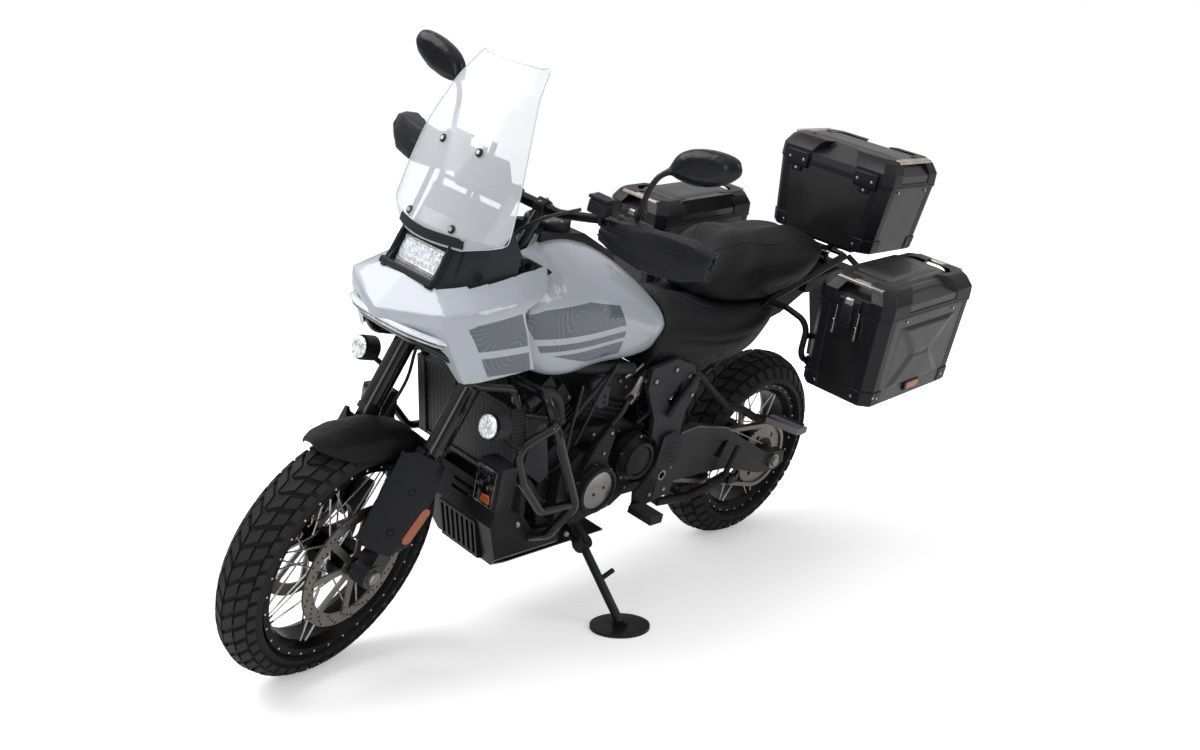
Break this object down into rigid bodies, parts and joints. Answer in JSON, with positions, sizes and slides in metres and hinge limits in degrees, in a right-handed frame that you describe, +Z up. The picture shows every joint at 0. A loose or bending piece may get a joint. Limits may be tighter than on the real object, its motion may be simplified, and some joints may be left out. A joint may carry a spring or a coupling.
{
  "type": "adventure motorcycle",
  "caption": "Large adventure motorcycle with hard luggage, tall windscreen, crash bars and wire wheels, leaning on its side stand with the front wheel turned.",
  "frame": {"origin": "middle of the bounding box on the floor under the tyres and stand foot", "axes": "+X to the front of the machine, +Y to its left (the side it leans to), +Z up"},
  "size_m": [2.3478, 1.1442, 1.5382],
  "materials": {
    "paint": "gloss",
    "frame_black": "satin",
    "frame_gloss": "gloss",
    "engine_black": "satin",
    "case_black": "satin",
    "plastic_black": "matte",
    "plastic_dark": "satin",
    "tyre": "matte",
    "seat": "matte",
    "steel": "satin",
    "exhaust": "satin",
    "clear": "gloss",
    "lens": "gloss",
    "tail_red": "gloss"
  },
  "bodies": {
    "chassis": {"auxiliary_lamps": "lens", "case_racks": "frame_black", "cylinders": "engine_black", "drive_chain": "steel", "engine": "engine_black", "engine_covers": "engine_black", "engine_guards": "frame_gloss", "exhaust_headers": "exhaust", "foot_pegs": "steel", "frame_side_plates": "frame_black", "front_fairing": "paint", "fuel_tank": "paint", "headlamp_housing": "plastic_dark", "headlamp_lens": "lens", "instrument": "plastic_black", "left_case": "case_black", "main_frame": "frame_black", "muffler": "exhaust", "nose_guard": "frame_gloss", "passenger_seat": "seat", "radiator": "engine_black", "rear_axle": "steel", "rear_fender": "plastic_black", "rear_shock": "steel", "rider_seat": "seat", "right_case": "case_black", "seat_frame": "frame_black", "skid_plate": "frame_black", "stand_bracket": "frame_black", "swingarm": "frame_black", "swingarm_pivot": "steel", "tail_lamp": "tail_red", "tank_console": "plastic_black", "top_case": "case_black", "windscreen": "clear"},
    "steering": {"handlebar": "frame_gloss", "fork": "frame_gloss", "front_axle": "steel", "fork_guards": "plastic_dark", "front_fender": "plastic_black", "brake_calipers": "engine_black", "hand_guards": "plastic_dark", "mirrors": "frame_gloss"},
    "front_wheel": {"front_tyre": "tyre", "front_wheel": "frame_black", "front_discs": "steel"},
    "rear_wheel": {"rear_tyre": "tyre", "rear_wheel": "frame_black", "rear_disc": "steel", "rear_sprocket": "steel"},
    "side_stand": {"side_stand": "frame_black"},
    "centre_stand": {"centre_stand": "frame_black"},
    "top_case_lid": {"top_case_lid": "case_black"},
    "left_case_lid": {"left_case_lid": "case_black"},
    "right_case_lid": {"right_case_lid": "case_black"}
  },
  "joints": [
    {"name": "steering", "type": "hinge", "parent": "chassis", "child": "steering", "pos_m": [0.83165, -0.16537, 0.30024], "axis": [-0.4347, 0.2331, 0.8699], "range_deg": [-46, 22]},
    {"name": "front_wheel_axle", "type": "hinge", "parent": "steering", "child": "front_wheel", "pos_m": [0.85367, -0.1576, 0.30917], "axis": [-0.1872, 0.9214, -0.3405], "continuous": true},
    {"name": "rear_wheel_axle", "type": "hinge", "parent": "chassis", "child": "rear_wheel", "pos_m": [-0.72585, -0.16272, 0.31016], "axis": [0, 0.9659, -0.2588], "continuous": true},
    {"name": "side_stand_pivot", "type": "hinge", "parent": "chassis", "child": "side_stand", "pos_m": [0.15286, -0.01602, 0.197], "axis": [-0.05, 0.7905, 0.6104], "range_deg": [0, 95]},
    {"name": "centre_stand_pivot", "type": "hinge", "parent": "chassis", "child": "centre_stand", "pos_m": [-0.22608, -0.17774, 0.25411], "axis": [0, 0.9659, -0.2588], "range_deg": [-105, 0]},
    {"name": "top_case_hinge", "type": "hinge", "parent": "chassis", "child": "top_case_lid", "pos_m": [-1.17322, 0.07709, 1.20512], "axis": [0, -0.9659, 0.2588], "range_deg": [0, 95]},
    {"name": "left_case_hinge", "type": "hinge", "parent": "chassis", "child": "left_case_lid", "pos_m": [-0.94517, 0.41774, 0.86145], "axis": [0, -0.9659, 0.2588], "range_deg": [0, 95]},
    {"name": "right_case_hinge", "type": "hinge", "parent": "chassis", "child": "right_case_lid", "pos_m": [-0.94517, -0.38977, 1.07782], "axis": [0, -0.9659, 0.2588], "range_deg": [0, 95]}
  ]
}
